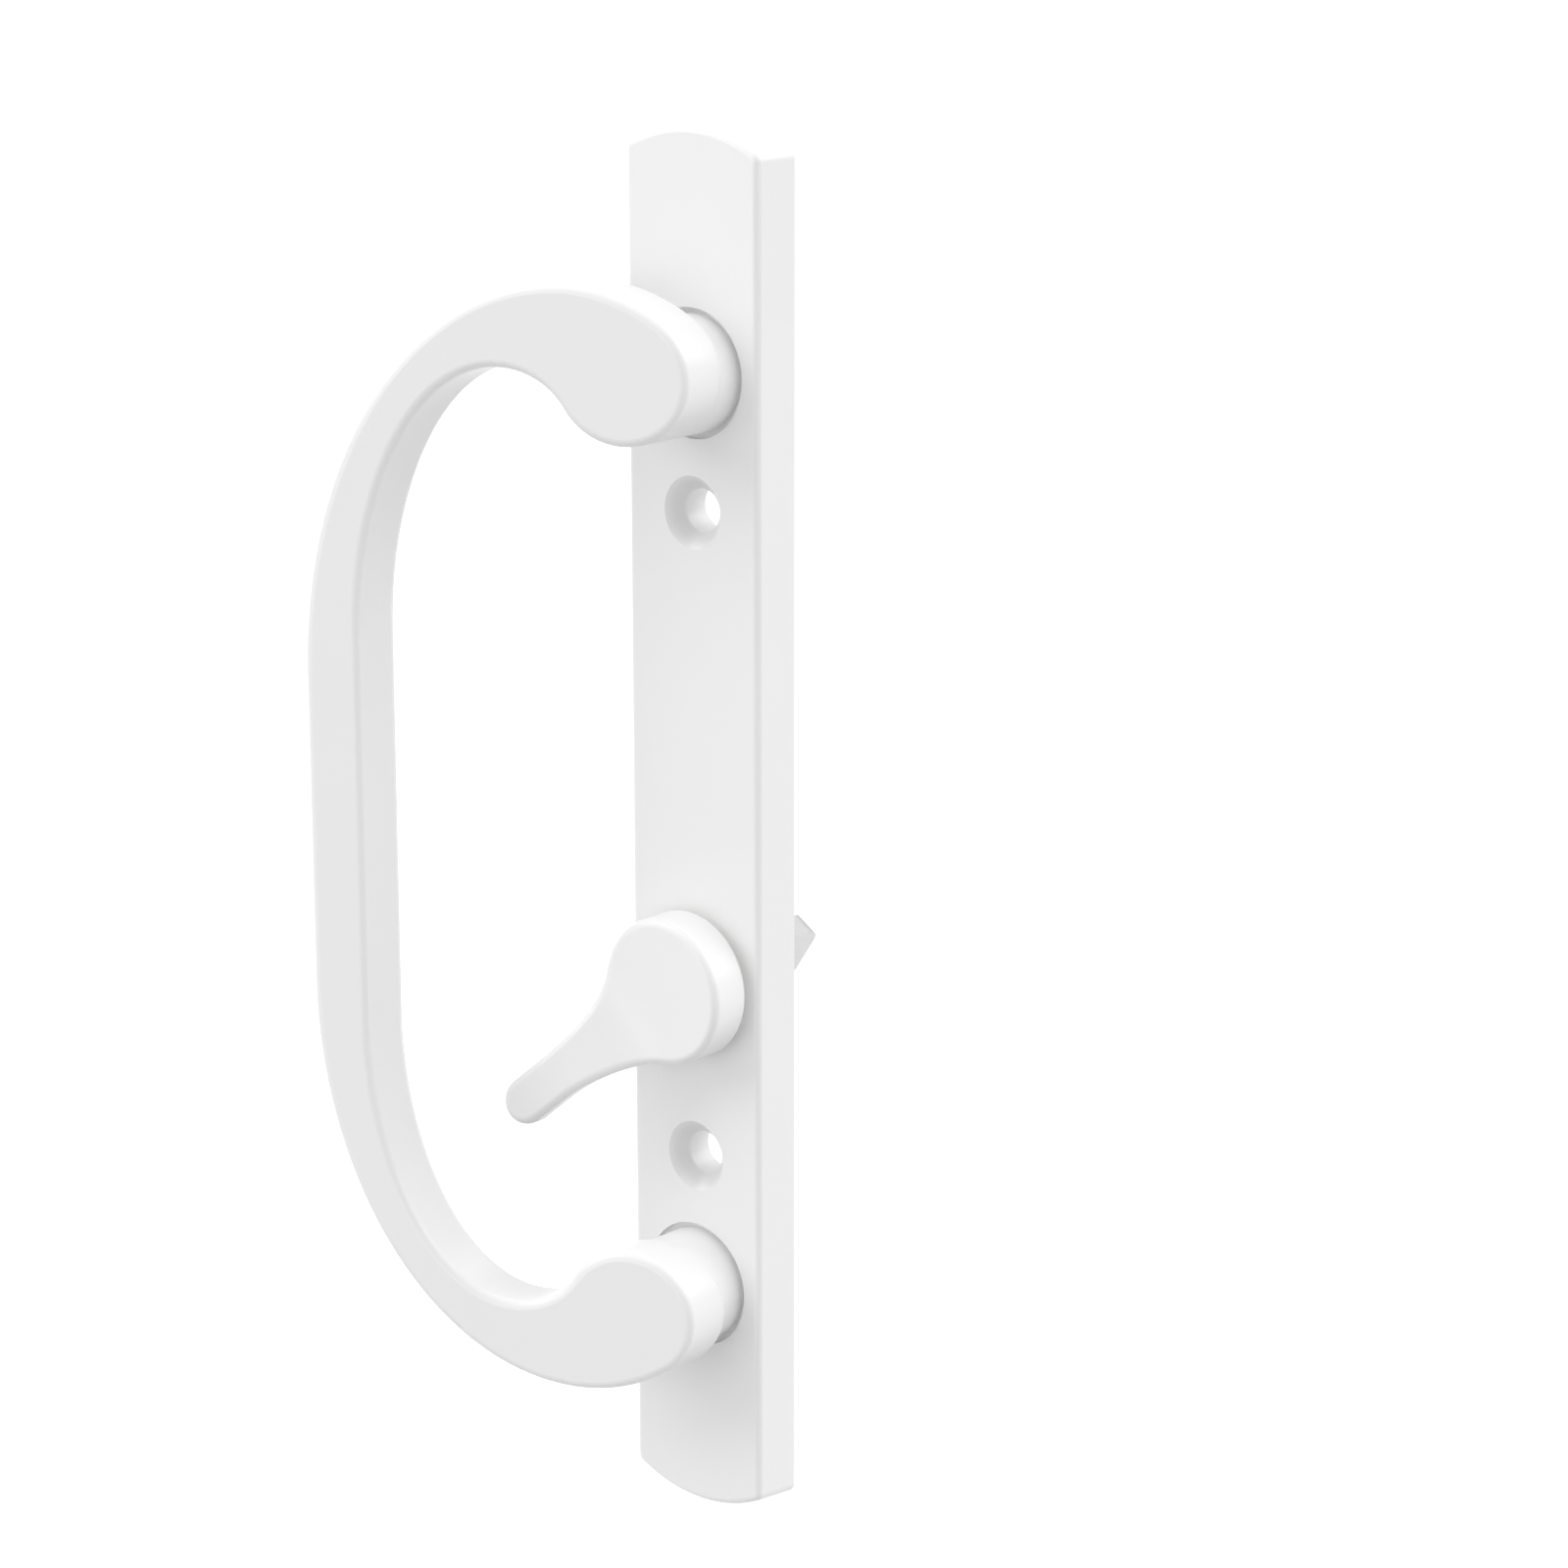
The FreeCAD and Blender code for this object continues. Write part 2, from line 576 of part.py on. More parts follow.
def lever_plan():
    """The knob and its lever seen from the front, with the lever pointing straight down."""
    point = FreeCAD.Vector
    knob = size("knob_radius")
    half = size("lever_half_width")
    blend = size("lever_blend")
    tip_z = -size("lever_length")
    blend_z = -math.sqrt((knob + blend) ** 2 - (half + blend) ** 2)
    blend_centre = point(half + blend, 0, blend_z)
    centre = point(0, 0, 0)
    touch = direction(centre, blend_centre)
    side = [
        arc_through(centre, knob, 90, touch),
        arc_through(blend_centre, blend, touch + 180, 180),
        Part.LineSegment(point(half, 0, blend_z), point(half, 0, tip_z)).toShape(),
        arc_through(point(0, 0, tip_z), half, 0, -90),
    ]
    mirrored = [edge.mirror(centre, point(1, 0, 0)) for edge in side]
    return Part.Face(Part.Wire(Part.__sortEdges__(side + mirrored)))


def lever_profile():
    """The knob and its lever seen from the side, the room to the left."""
    face = -size("plate_depth")

    def at(down, above):
        return FreeCAD.Vector(0, face - above, -down)

    def rising(start, middle, end, steepness):
        """Curve along the lever that leaves the knob at a given steepness."""
        curve = Part.BSplineCurve()
        curve.interpolate(Points=[start, middle, end],
                          InitialTangent=at(1, steepness) - at(0, 0),
                          FinalTangent=at(1, size("lever_slope")) - at(0, 0))
        return curve.toShape()

    beyond = -size("knob_radius") - MARGIN
    end = size("lever_length") + size("lever_half_width")
    front_start = at(size("lever_rise"), size("knob_face"))
    front_middle = at(size("lever_middle"), size("lever_middle_front"))
    front_end = at(end, size("lever_tip_front"))
    front_corner = at(beyond, size("knob_face"))
    back_start = at(size("lever_heel"), size("thumb_gap"))
    back_middle = at(size("lever_middle"), size("lever_middle_back"))
    back_end = at(end, size("lever_tip_back"))
    back_corner = at(beyond, size("thumb_gap"))
    edges = [
        Part.LineSegment(front_corner, front_start).toShape(),
        rising(front_start, front_middle, front_end, 0),
        Part.LineSegment(front_end, back_end).toShape(),
        rising(back_start, back_middle, back_end, 1),
        Part.LineSegment(back_start, back_corner).toShape(),
        Part.LineSegment(back_corner, front_corner).toShape(),
    ]
    profile = Part.Face(Part.Wire(Part.__sortEdges__(edges)))
    profile.translate(FreeCAD.Vector(beyond, 0, 0))
    return profile


def around_depth(alias):
    """Placement turned round the depth's direction by a size of the sheet."""
    turn = FreeCAD.Rotation(FreeCAD.Vector(0, 1, 0), size(alias))
    return FreeCAD.Placement(FreeCAD.Vector(), turn)


def turn_to_lever(thing, angle="lever_angle"):
    """Moves a piece that was made upright onto the thumb-turn's axis and direction."""
    thing.Placement = around_depth("lever_angle")
    bind(thing, ".Placement.Rotation.Angle", angle)
    bind(thing, ".Placement.Base.z", "0 - thumb_drop")
    return thing


def thumb_turn():
    """Knob, lever and hub in one casting, with the slot for the tailpiece."""
    plan = drawn("lever_plan", lever_plan())
    profile = drawn("lever_profile", lever_profile())
    tall = extruded("lever_blank", plan, FreeCAD.Vector(0, -1, 0),
                    "plate_depth + 2 * lever_tip_front")
    wide = extruded("lever_side", profile, FreeCAD.Vector(1, 0, 0), "4 * knob_radius")
    lever = common("lever_form", tall, wide)
    lever = rounded("lever_rounded", lever, size("knob_round"), lever_front_edge)
    hub = rod("hub", "hub_radius", "hub_end_gap", "plate_depth + knob_face / 2 - hub_end_gap")
    groove_start = RING_DEPTH + " - groove_gap"
    groove_length = "ring_thickness + 2 * groove_gap"
    groove_outer = rod("groove_outer", "thumb_boss", groove_start, groove_length)
    groove_inner = rod("groove_inner", "hub_radius - groove_depth", groove_start, groove_length)
    groove = cut("groove", groove_outer, groove_inner)
    slot = block("tail_slot", "tail_thickness + 2 * tail_slot_gap", "tail_inside * 2",
                 "tail_width + 2 * tail_slot_gap",
                 ("0 - tail_thickness / 2 - tail_slot_gap", "0 - tail_inside",
                  "0 - tail_width / 2 - tail_slot_gap"))
    pin_hole = pin_rod("hub_pin_hole", "pin_radius + pin_gap", "thumb_boss")
    tail_tools = doc.addObject("Part::Compound", "tail_tools")
    tail_tools.Links = [slot, pin_hole]
    tail_tools.Placement = around_depth("tail_turn")
    bind(tail_tools, ".Placement.Rotation.Angle", "0 - tail_turn")
    body = fuse("thumb_turn_body", lever, hub)
    return turn_to_lever(cut("thumb_turn", body, groove, tail_tools))


def lever_front_edge(edge):
    """Edges round the front of the knob and lever, and round the back of the lever."""
    if not runs_across(edge):
        return False
    reach = edge.BoundBox
    foot = -size("plate_depth") - size("thumb_gap")
    return reach.YMin < foot - size("knob_round") / 2


def pin_rod(name, radius, half_length):
    """Cylinder across the thumb-turn's axis, square to the tailpiece's flat."""
    cylinder = doc.addObject("Part::Cylinder", name)
    bind(cylinder, "Radius", radius)
    bind(cylinder, "Height", "2 * ( %s )" % half_length)
    cylinder.Placement = FreeCAD.Placement(
        FreeCAD.Vector(), FreeCAD.Rotation(FreeCAD.Vector(0, 1, 0), 90))
    bind(cylinder, ".Placement.Base.x", "0 - ( %s )" % half_length)
    bind(cylinder, ".Placement.Base.y", "0 - pin_depth")
    return cylinder


def tailpiece():
    """Flat blade, rounded at its free end, with the roll pin's hole."""
    blade = block("tail_blank", "tail_thickness", "tail_inside + tail_reach", "tail_width",
                  ("0 - tail_thickness / 2", "0 - tail_inside", "0 - tail_width / 2"))

    def free_corner(edge):
        reach = edge.BoundBox
        at_end = abs(edge.CenterOfMass.y - size("tail_reach")) < TOUCH
        return at_end and reach.XLength > TOUCH

    blade = rounded("tail_blade", blade, size("tail_corner"), free_corner)
    hole = pin_rod("tail_pin_hole", "pin_radius + pin_gap", "tail_thickness")
    return turn_to_lever(cut("tailpiece", blade, hole), "lever_angle - tail_turn")


def tail_pin():
    """Roll pin: a split tube through the hub and the tailpiece."""
    half = "hub_radius - pin_recess"
    outer = pin_rod("pin_outer", "pin_radius", half)
    inner = pin_rod("pin_inner", "pin_radius - pin_wall", "hub_radius")
    slit = block("pin_slit_tool", "2 * hub_radius", "pin_radius * 2", "pin_slit",
                 ("0 - hub_radius", "0 - pin_depth", "0 - pin_slit / 2"))
    return turn_to_lever(cut("tail_pin", outer, inner, slit), "lever_angle - tail_turn")


def washer(name, inner, outer, depth, length):
    """Flat ring round the thumb-turn's axis."""
    ring = cut(name, rod(name + "_outer", outer, depth, length),
               rod(name + "_inner", inner, depth, length))
    return turn_to_lever(ring)


def wave_washer():
    """Thin spring ring whose height rises and falls a few times round."""
    waves = int(size("wave_count"))
    steps = int(size("wave_points")) * waves
    rise = size("wave_height")
    thick = size("wave_thickness")
    front = value_of("thumb_boss_gap - flat_washer_thickness - wave_gap - wave_height")
    inner = size("hub_radius") + size("washer_gap")
    outer = size("flat_washer_radius")

    def loop(radius, depth):
        points = []
        for step in range(steps):
            turn = 2 * math.pi * step / steps
            y = -(depth + rise * math.cos(waves * turn))
            points.append(FreeCAD.Vector(radius * math.cos(turn), y, radius * math.sin(turn)))
        curve = Part.BSplineCurve()
        curve.interpolate(Points=points, PeriodicFlag=True)
        return curve.toShape()

    inner_front = loop(inner, front)
    outer_front = loop(outer, front)
    inner_rear = loop(inner, front - thick)
    outer_rear = loop(outer, front - thick)
    faces = [Part.makeRuledSurface(first, second) for first, second in (
        (inner_front, outer_front), (outer_front, outer_rear),
        (outer_rear, inner_rear), (inner_rear, inner_front))]
    shell = Part.Shell([face.Faces[0] for face in faces])
    shell.sewShape()
    solid = Part.Solid(shell)
    if solid.Volume < 0:
        solid.reverse()
    return turn_to_lever(drawn("wave_washer", solid))


def retaining_ring():
    """Open spring clip with three prongs that reach into the hub's groove."""
    start = RING_DEPTH
    length = "ring_thickness"
    disc = rod("ring_disc", "ring_outer", start, length)
    clear = rod("ring_clear_tool", "ring_clear", start, length)
    hoop = cut("ring_hoop", disc, clear)
    prongs = []
    spread = size("ring_prong_turn")
    for number, turn in enumerate((0, spread, -spread), start=1):
        prong = doc.addObject("Part::Box", "ring_prong_%d" % number)
        bind(prong, "Length", "ring_prong")
        bind(prong, "Width", length)
        bind(prong, "Height", "ring_outer / 2 + ring_clear / 2")
        rotation = FreeCAD.Rotation(FreeCAD.Vector(0, 1, 0), turn)
        corner = rotation.multVec(FreeCAD.Vector(-size("ring_prong") / 2, 0, 0))
        corner.y = -value_of(start) - size("ring_thickness")
        prong.Placement = FreeCAD.Placement(corner, rotation)
        prongs.append(prong)
    body = fuse("ring_body", hoop, *prongs)
    grip = rod("ring_grip_tool", "hub_radius - groove_depth + groove_gap", start, length)
    mouth = block("ring_mouth_tool", "2 * ring_mouth", "3 * ring_thickness", "ring_outer",
                  ("0 - ring_mouth", "0 - ( %s ) - 2 * ring_thickness" % start,
                   "0 - ring_mouth_drop - ring_outer"))
    return turn_to_lever(cut("retaining_ring", body, grip, mouth))


parts = [
    escutcheon_plate(),
    pull_handle(),
    pull_screw("upper_pull_screw", "post_spacing / 2"),
    pull_screw("lower_pull_screw", "0 - post_spacing / 2"),
    thumb_turn(),
    washer("thrust_washer", "hub_radius + washer_gap", "thrust_radius", "plate_depth",
           "thumb_gap"),
    tailpiece(),
    tail_pin(),
    washer("flat_washer", "hub_radius + washer_gap", "flat_washer_radius",
           "thumb_boss_gap - flat_washer_thickness", "flat_washer_thickness"),
    wave_washer(),
    retaining_ring(),
]
doc.recompute()

failed = [item.Name for item in doc.Objects
          if "Invalid" in item.State or "Error" in item.State]
if failed:
    raise RuntimeError("failed: " + ", ".join(failed))
for part in parts:
    if part.Shape.isNull() or not part.Shape.isValid() or len(part.Shape.Solids) != 1:
        raise RuntimeError("bad shape: %s %d" % (part.Label, len(part.Shape.Solids)))
os.makedirs("parts", exist_ok=True)
for part in parts:
    part.Shape.exportStep("parts/%s.step" % part.Label)
    reach = part.Shape.BoundBox
    print("%-18s %9.1f mm3  x %.2f..%.2f  y %.2f..%.2f  z %.2f..%.2f" % (
        part.Label, part.Shape.Volume, reach.XMin, reach.XMax, reach.YMin, reach.YMax,
        reach.ZMin, reach.ZMax))
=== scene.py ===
import math

import bpy
from mathutils import Matrix, Vector


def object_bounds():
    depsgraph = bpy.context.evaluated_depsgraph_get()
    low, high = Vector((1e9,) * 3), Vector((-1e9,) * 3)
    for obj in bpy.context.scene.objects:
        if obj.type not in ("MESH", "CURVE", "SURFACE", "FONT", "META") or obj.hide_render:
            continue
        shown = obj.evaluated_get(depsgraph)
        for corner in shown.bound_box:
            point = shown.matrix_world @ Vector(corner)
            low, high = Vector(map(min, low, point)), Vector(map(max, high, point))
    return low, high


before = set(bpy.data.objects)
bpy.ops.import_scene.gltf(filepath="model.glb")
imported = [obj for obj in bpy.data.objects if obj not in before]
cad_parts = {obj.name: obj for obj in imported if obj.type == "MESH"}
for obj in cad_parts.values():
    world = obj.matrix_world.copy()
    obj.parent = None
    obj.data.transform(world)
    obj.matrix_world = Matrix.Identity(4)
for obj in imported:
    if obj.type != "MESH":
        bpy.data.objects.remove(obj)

cad_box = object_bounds()

# Sliding patio door handle, inside half: its camera, light, floor and surfaces, in metres.
MM = 0.001
WHITE = (1, 1, 1, 1)

# Camera, as the photograph was taken: direction, focal length and place of the origin in the frame.
PHOTO_SIDE = 1600
CAMERA_AZIMUTH = math.radians(40.62)
CAMERA_ELEVATION = math.radians(15.21)
FOCAL_PIXELS = 4672.0
CAMERA_DISTANCE = 690.1 * MM
ORIGIN_PIXEL = (739.9, 847.7)
SENSOR_WIDTH = 36.0
NEAREST_SEEN = 0.01
FARTHEST_SEEN = 20

# Light: the even part from all sides, and soft suns, whose spread, azimuth and height are in
# degrees: name, azimuth, height and strength.
WORLD_STRENGTH = 0.64
SUN_SPREAD = 50
SUNS = (
    ("left_high", -54, 35, 1.35),
    ("front_left", -9, 0, 0.5),
    ("right_front", 106, 35, 0.9),
    ("right_back", 146, 35, 0.75),
    ("top", 11, 68, 0.35),
)

# Floor: its side, how far its middle lies behind the object and its surface below it, how much
# light it gives back to the object, and how white it is seen.
FLOOR_SIDE = 12
FLOOR_BEHIND = 3
FLOOR_DROP = 30 * MM
FLOOR_BOUNCE = 0.5
FLOOR_SEEN = 0.85
FLOOR_LIFT = 0.35

# Places on the object that the paint follows: holes, pull handle's plane, lever.
HOLE_HEIGHT = 50 * MM
HOLE_RADIUS = 3.25 * MM
SINK_RADIUS = 5.5 * MM
PULL_TILT = math.radians(19.6)
THUMB_HEIGHT = -22 * MM
LEVER_ANGLE = math.radians(45.5)
TIP_START = 13 * MM
TIP_END = 31 * MM

# Painted shade in a countersink: a margin past its rim and past its bore, and the widths over
# which it comes in from the rim and from the bore.
SINK_MARGIN = 0.1 * MM
SINK_FADE = 1.3 * MM
BORE_FADE = 0.4 * MM

# Roundings, which get painted shade, by how squarely they face the same way as the flat front,
# from 0 on the walls to 1: where they begin, on the pull handle nearer the front, over how much
# they come in, where they begin to fade, and where the flat front begins.
FRONT = (0, -1, 0)
RIM_START = 0.25
PULL_RIM_START = 0.45
RIM_RISE = 0.2
RIM_FADE = 0.9
FLAT_START = 0.99

# White enamel: base colour, the darker colour of its blotches and of painted shade, and how much
# of the darker one each place gets.
PAINT_BASE = (0.86, 0.86, 0.86)
PAINT_TONE_AND_SHADE = (0.42, 0.42, 0.415)
BLOTCH_AMOUNT = 0.04
RIM_SHADE = 0.1
SINK_SHADE = 0.18
TIP_SHADE = 0.3

# White enamel's surface: its roughness and the range of that, the waves per metre of its blotches,
# gloss and orange peel, and the depth and strength of the peel.
PAINT_ROUGHNESS = 0.3
PAINT_SMOOTHEST = 0.28
PAINT_ROUGHEST = 0.335
BLOTCH_WAVES = 60
GLOSS_WAVES = 110
PEEL_WAVES = 700
PEEL_DEPTH = 0.04 * MM
PEEL_STRENGTH = 0.09

# Metals: name, colour and roughness.
BRIGHT_ZINC = ("bright_zinc", (0.70, 0.71, 0.72), 0.2)
SATIN_ZINC = ("satin_zinc", (0.52, 0.52, 0.52), 0.4)
SPRING_STEEL = ("spring_steel", (0.45, 0.45, 0.46), 0.35)

# Marks from a metal's making: how they stretch along the blade of the tailpiece, their waves per
# metre, detail, depth, strength and shade. Then the waves per metre of its gloss, and how far the
# roughness departs from its middle.
ALONG_BLADE = (1, 0.1, 1)
MARK_WAVES = 2500
MARK_DETAIL = 3.0
MARK_DEPTH = 0.03 * MM
MARK_STRENGTH = 0.15
MARK_SHADE = 0.88
METAL_GLOSS_WAVES = 400
SMOOTHER_BY = 0.05
ROUGHER_BY = 0.08

# Nylon: its two tones, roughness, waves per metre of the tones, and the moulded grain's waves per
# metre, depth and strength.
NYLON_PALE = (0.84, 0.84, 0.82)
NYLON_DULL = (0.79, 0.79, 0.77)
NYLON_ROUGHNESS = 0.55
NYLON_WAVES = 300
GRAIN_WAVES = 1500
GRAIN_DEPTH = 0.03 * MM
GRAIN_STRENGTH = 0.1

# Detail of every uneven pattern but the metals' marks.
PLAIN_DETAIL = 2.0


def direction_of(azimuth, height):
    """Unit vector towards a place that stands at an azimuth and a height, in radians."""
    return Vector((math.sin(azimuth) * math.cos(height),
                   -math.cos(azimuth) * math.cos(height), math.sin(height)))


def make_camera():
    """Looks from the photograph's side, with the origin at its place in the picture."""
    back = direction_of(CAMERA_AZIMUTH, CAMERA_ELEVATION)
    right = Vector((math.cos(CAMERA_AZIMUTH), math.sin(CAMERA_AZIMUTH), 0))
    up = back.cross(right)
    middle = PHOTO_SIDE / 2
    across = (ORIGIN_PIXEL[0] - middle) * CAMERA_DISTANCE / FOCAL_PIXELS
    above = (middle - ORIGIN_PIXEL[1]) * CAMERA_DISTANCE / FOCAL_PIXELS
    place = back * CAMERA_DISTANCE - right * across - up * above
    data = bpy.data.cameras.new("photo_camera")
    data.sensor_width = SENSOR_WIDTH
    data.lens = FOCAL_PIXELS / PHOTO_SIDE * SENSOR_WIDTH
    data.clip_start = NEAREST_SEEN
    data.clip_end = FARTHEST_SEEN
    camera = bpy.data.objects.new("photo_camera", data)
    bpy.context.scene.collection.objects.link(camera)
    turn = Matrix((right, up, back)).transposed().to_4x4()
    camera.matrix_world = Matrix.Translation(place) @ turn
    bpy.context.scene.camera = camera


def soft_sun(name, azimuth, height, strength):
    """Even light from a direction in degrees, soft because its source spreads widely."""
    data = bpy.data.lights.new(name, "SUN")
    data.energy = strength
    data.angle = math.radians(SUN_SPREAD)
    lamp = bpy.data.objects.new(name, data)
    bpy.context.scene.collection.objects.link(lamp)
    source = direction_of(math.radians(azimuth), math.radians(height))
    lamp.rotation_euler = (-source).to_track_quat("-Z", "Y").to_euler()


def add_node(owner, kind, *sources, **settings):
    """Adds a node, sets its options, and feeds its inputs in order with sockets or plain values."""
    node = owner.node_tree.nodes.new(kind)
    for option, value in settings.items():
        setattr(node, option, value)
    for place, source in enumerate(sources):
        if isinstance(source, bpy.types.NodeSocket):
            owner.node_tree.links.new(source, node.inputs[place])
        else:
            node.inputs[place].default_value = source
    return node


def math_step(owner, operation, *values):
    """One step of arithmetic on sockets or numbers."""
    return add_node(owner, "ShaderNodeMath", *values, operation=operation).outputs[0]


def seen_directly(owner):
    """1 for what the camera sees, also in metal or through glass, and 0 for light on the object."""
    path = add_node(owner, "ShaderNodeLightPath").outputs
    passed_on = math_step(owner, "MAXIMUM", path["Is Glossy Ray"], path["Is Transmission Ray"])
    return math_step(owner, "MAXIMUM", path["Is Camera Ray"], passed_on)


def make_world():
    """Even light from all sides, seen as plain white."""
    world = bpy.data.worlds.new("studio")
    bpy.context.scene.world = world
    world.use_nodes = True
    world.node_tree.nodes.clear()
    light = add_node(world, "ShaderNodeBackground", WHITE, WORLD_STRENGTH).outputs[0]
    white = add_node(world, "ShaderNodeBackground", WHITE, 1.0).outputs[0]
    both = add_node(world, "ShaderNodeMixShader", seen_directly(world), light, white).outputs[0]
    add_node(world, "ShaderNodeOutputWorld", both)


def floor_material():
    """White to the camera, with the object's shadow kept, and a plain pale floor to the light."""
    material = bpy.data.materials.new("floor_white")
    material.use_nodes = True
    material.node_tree.nodes.clear()
    bounce = (FLOOR_BOUNCE, FLOOR_BOUNCE, FLOOR_BOUNCE, 1)
    shown = (FLOOR_SEEN, FLOOR_SEEN, FLOOR_SEEN, 1)
    pale = add_node(material, "ShaderNodeBsdfDiffuse", bounce).outputs[0]
    shadowed = add_node(material, "ShaderNodeBsdfDiffuse", shown).outputs[0]
    lift = add_node(material, "ShaderNodeEmission", WHITE, FLOOR_LIFT).outputs[0]
    lifted = add_node(material, "ShaderNodeAddShader", shadowed, lift).outputs[0]
    both = add_node(material, "ShaderNodeMixShader", seen_directly(material), pale, lifted)
    add_node(material, "ShaderNodeOutputMaterial", both.outputs[0])
    return material


def make_floor():
    """Pale floor a little below the plate, wide enough to fill the view."""
    height = cad_box[0][2] - FLOOR_DROP
    bpy.ops.mesh.primitive_plane_add(size=FLOOR_SIDE, location=(0, FLOOR_BEHIND, height))
    floor = bpy.context.object
    floor.name = "floor"
    floor.data.materials.append(floor_material())


def surface(material):
    """The shader that gives a material its looks."""
    return material.node_tree.nodes["Principled BSDF"]


def new_material(name, roughness, metallic=0.0):
    """Plain material, a metal where metallic is 1."""
    material = bpy.data.materials.new(name)
    material.use_nodes = True
    shader = surface(material)
    shader.inputs["Roughness"].default_value = roughness
    shader.inputs["Metallic"].default_value = metallic
    return material


def ramp_up(material, value, start, end):
    """Rises smoothly from 0 to 1 while the value goes from start to end."""
    node = add_node(material, "ShaderNodeMapRange", value, start, end, 0.0, 1.0)
    node.interpolation_type = "SMOOTHSTEP"
    return node.outputs[0]


def own_place(material):
    """Each point's place in the object, which moves with the piece."""
    return add_node(material, "ShaderNodeTexCoord").outputs["Object"]


def noise(material, waves, detail=PLAIN_DETAIL, stretch=None):
    """Uneven pattern with a number of waves per metre, stretched along an axis where wanted."""
    place = own_place(material)
    if stretch is not None:
        mapping = add_node(material, "ShaderNodeMapping", place)
        mapping.inputs["Scale"].default_value = stretch
        place = mapping.outputs[0]
    node = add_node(material, "ShaderNodeTexNoise", place)
    node.inputs["Scale"].default_value = waves
    node.inputs["Detail"].default_value = detail
    return node.outputs["Fac"]


def relief(material, height, depth, strength):
    """Fine relief of a painted, plated or moulded surface."""
    bump = add_node(material, "ShaderNodeBump")
    bump.inputs["Strength"].default_value = strength
    bump.inputs["Distance"].default_value = depth
    material.node_tree.links.new(height, bump.inputs["Height"])
    material.node_tree.links.new(bump.outputs["Normal"], surface(material).inputs["Normal"])


def colour_between(material, amount, lighter_tone, darker_tone):
    """Base colour from the lighter one, at 0, to the darker one, at 1."""
    # On the white enamel, the darker end carries its blotches and painted shade.
    ramp = add_node(material, "ShaderNodeValToRGB", amount)
    ramp.color_ramp.elements[0].color = (*lighter_tone, 1)
    ramp.color_ramp.elements[1].color = (*darker_tone, 1)
    material.node_tree.links.new(ramp.outputs["Color"], surface(material).inputs["Base Color"])


def vary_roughness(material, amount, low, high):
    """Roughness from the low value, where the amount is 0, to the high one, where it is 1."""
    node = add_node(material, "ShaderNodeMapRange", amount, 0.0, 1.0, low, high)
    material.node_tree.links.new(node.outputs[0], surface(material).inputs["Roughness"])


def rim_shade_mask(material, face, start):
    """1 on the roundings between a flat face of the given direction and the walls round it: painted
    shade.
    """
    normal = add_node(material, "ShaderNodeTexCoord").outputs["Normal"]
    product = add_node(material, "ShaderNodeVectorMath", normal, face, operation="DOT_PRODUCT")
    facing = math_step(material, "ABSOLUTE", product.outputs["Value"])
    rise = ramp_up(material, facing, start, start + RIM_RISE)
    fall = ramp_up(material, facing, FLAT_START, RIM_FADE)
    return math_step(material, "MULTIPLY", rise, fall)


def sink_shade_mask(material):
    """Painted shade: rises from 0 at the rims of the two countersinks to 1 down their cones, not in
    the bores.
    """
    parts = add_node(material, "ShaderNodeSeparateXYZ", own_place(material)).outputs
    height = math_step(material, "SUBTRACT", math_step(material, "ABSOLUTE", parts[2]), HOLE_HEIGHT)
    across = math_step(material, "MULTIPLY", parts[0], parts[0])
    upright = math_step(material, "MULTIPLY", height, height)
    distance = math_step(material, "SQRT", math_step(material, "ADD", across, upright))
    inside = ramp_up(material, distance, SINK_RADIUS + SINK_MARGIN, SINK_RADIUS - SINK_FADE)
    outside_bore = ramp_up(material, distance, HOLE_RADIUS - SINK_MARGIN, HOLE_RADIUS + BORE_FADE)
    return math_step(material, "MULTIPLY", inside, outside_bore)


def tip_shade_mask(material):
    """Painted shade: rises from 0 in the middle of the lever to 1 at its tip."""
    along = (-math.sin(LEVER_ANGLE), 0, -math.cos(LEVER_ANGLE))
    from_axis = add_node(material, "ShaderNodeVectorMath", own_place(material),
                         (0, 0, THUMB_HEIGHT), operation="SUBTRACT")
    product = add_node(material, "ShaderNodeVectorMath", from_axis.outputs[0], along,
                       operation="DOT_PRODUCT")
    return ramp_up(material, product.outputs["Value"], TIP_START, TIP_END)


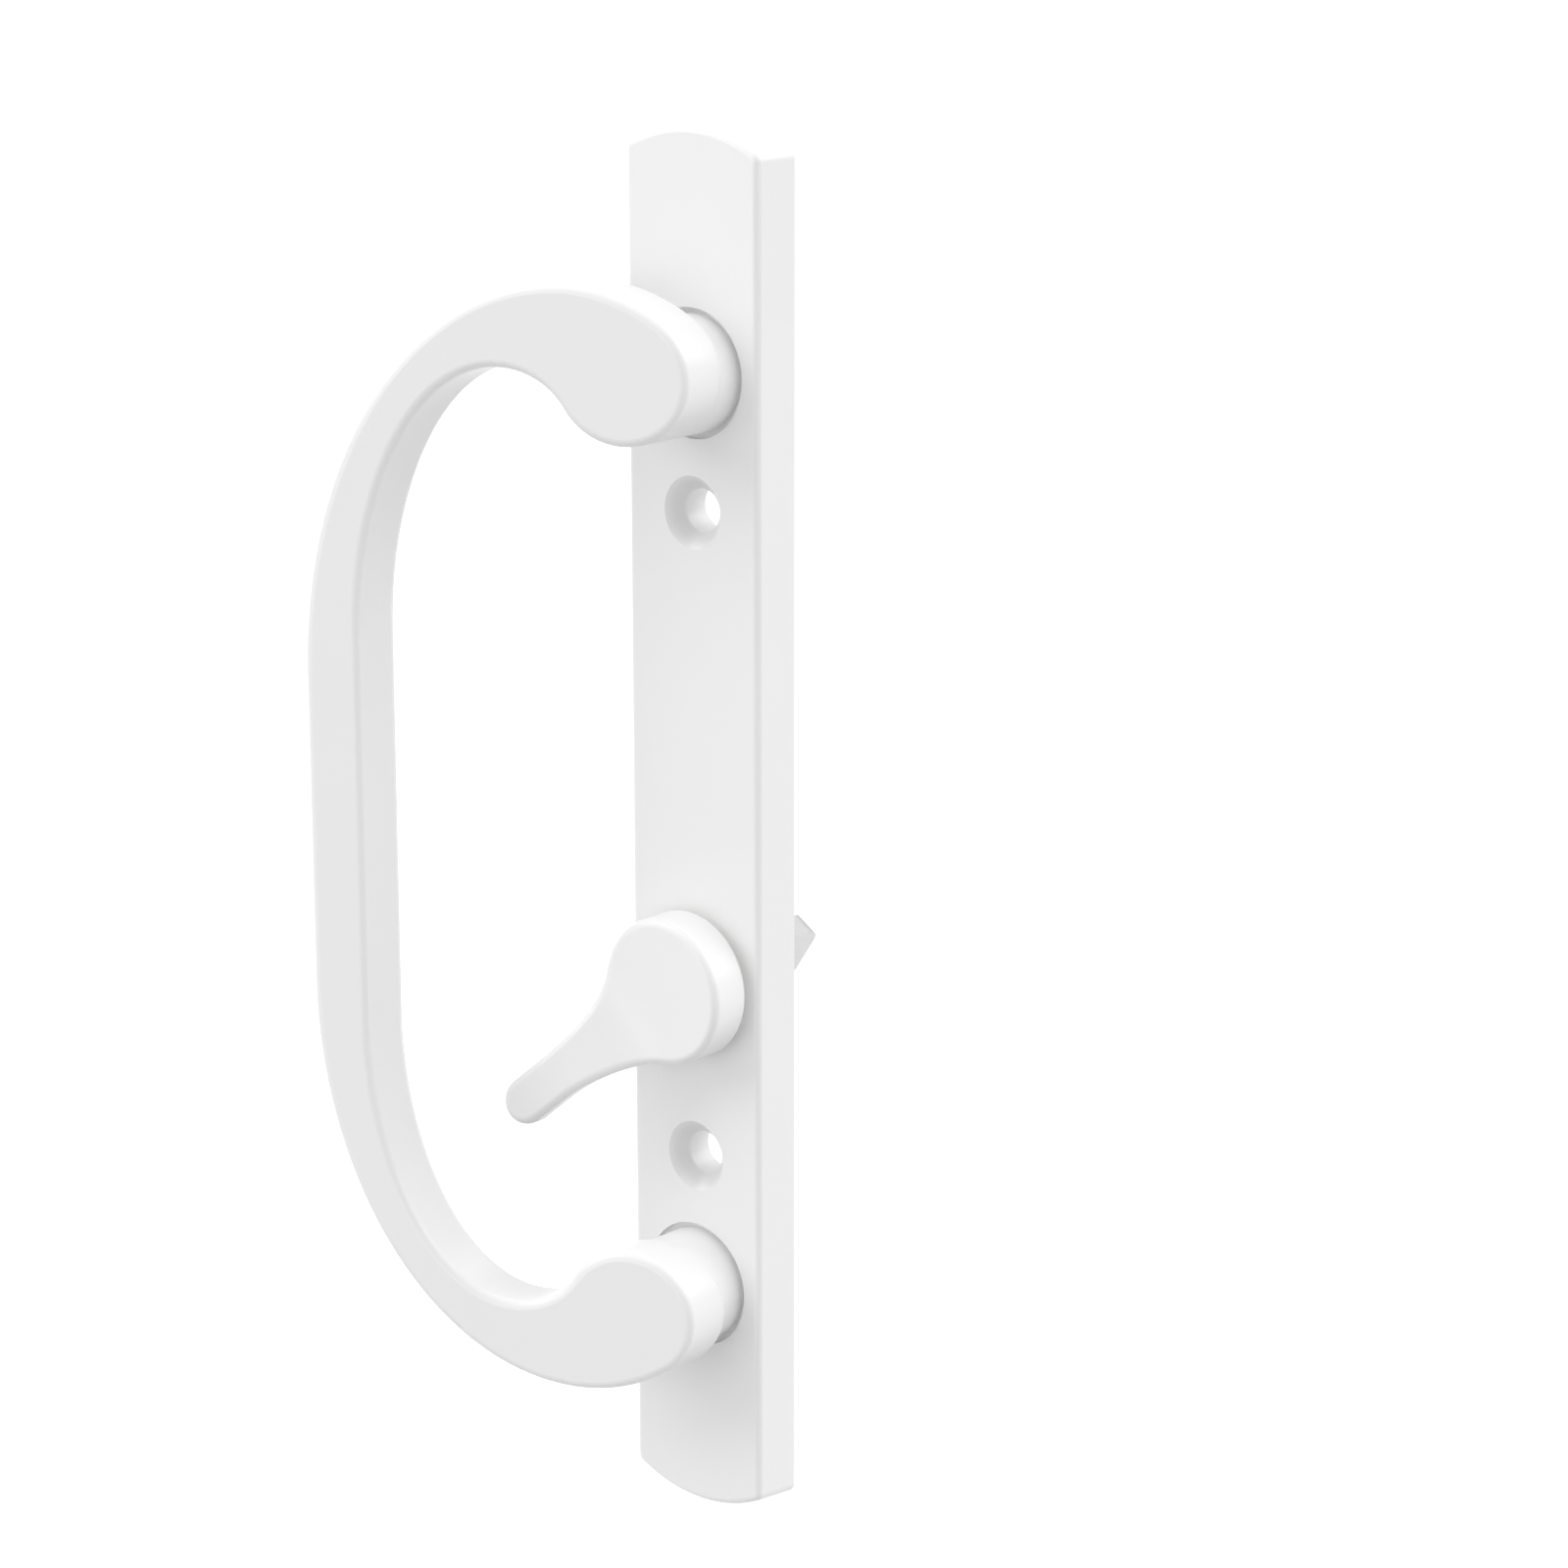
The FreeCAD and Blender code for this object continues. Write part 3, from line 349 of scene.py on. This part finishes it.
def white_paint(name, face=FRONT, rim_start=RIM_START, marks=None, shade_amount=0.0):
    """White enamel: random blotches, fine orange peel, painted shade on the roundings, and painted
    shade at one more place.
    """
    material = new_material(name, PAINT_ROUGHNESS)
    blotches = noise(material, BLOTCH_WAVES)
    amount = math_step(material, "MULTIPLY", blotches, BLOTCH_AMOUNT)
    # Painted shade on the roundings, darker than the flat faces beside them.
    shaded_rims = math_step(material, "MULTIPLY", rim_shade_mask(material, face, rim_start), RIM_SHADE)
    amount = math_step(material, "ADD", amount, shaded_rims)
    # The marks are painted shade: in the plate's countersinks, or towards the tip of the lever.
    if marks is not None:
        shaded_part = math_step(material, "MULTIPLY", marks(material), shade_amount)
        amount = math_step(material, "ADD", amount, shaded_part)
    colour_between(material, amount, PAINT_BASE, PAINT_TONE_AND_SHADE)
    vary_roughness(material, noise(material, GLOSS_WAVES), PAINT_SMOOTHEST, PAINT_ROUGHEST)
    relief(material, noise(material, PEEL_WAVES), PEEL_DEPTH, PEEL_STRENGTH)
    return material


def metal(name, colour, roughness, stretch=None):
    """Plated or bare metal with fine marks from its making."""
    material = new_material(name, roughness, 1.0)
    marks = noise(material, MARK_WAVES, MARK_DETAIL, stretch)
    darker = tuple(channel * MARK_SHADE for channel in colour)
    colour_between(material, marks, colour, darker)
    vary_roughness(material, noise(material, METAL_GLOSS_WAVES), roughness - SMOOTHER_BY,
                   roughness + ROUGHER_BY)
    relief(material, marks, MARK_DEPTH, MARK_STRENGTH)
    return material


def nylon():
    """White nylon with a fine moulded grain."""
    material = new_material("white_nylon", NYLON_ROUGHNESS)
    colour_between(material, noise(material, NYLON_WAVES), NYLON_PALE, NYLON_DULL)
    relief(material, noise(material, GRAIN_WAVES), GRAIN_DEPTH, GRAIN_STRENGTH)
    return material


def dress(material, *names):
    """Gives a material to the pieces of these names."""
    for name in names:
        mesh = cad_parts[name].data
        mesh.materials.clear()
        mesh.materials.append(material)


def dress_castings():
    """White enamel on the plate, the pull handle and the thumb-turn."""
    pull_face = (math.sin(PULL_TILT), -math.cos(PULL_TILT), 0)
    dress(white_paint("plate_paint", marks=sink_shade_mask, shade_amount=SINK_SHADE), "escutcheon_plate")
    dress(white_paint("pull_paint", pull_face, PULL_RIM_START), "pull_handle")
    dress(white_paint("thumb_paint", marks=tip_shade_mask, shade_amount=TIP_SHADE), "thumb_turn")


def dress_fittings():
    """Nylon, plated steel and spring steel on the small pieces behind and inside the plate."""
    dress(nylon(), "thrust_washer")
    dress(metal(*BRIGHT_ZINC), "upper_pull_screw", "lower_pull_screw", "flat_washer")
    dress(metal(*SATIN_ZINC, ALONG_BLADE), "tailpiece")
    dress(metal(*SPRING_STEEL), "tail_pin", "wave_washer", "retaining_ring")


make_camera()
make_world()
make_floor()
for sun in SUNS:
    soft_sun(*sun)
bpy.context.scene.view_settings.view_transform = "Standard"
dress_castings()
dress_fittings()
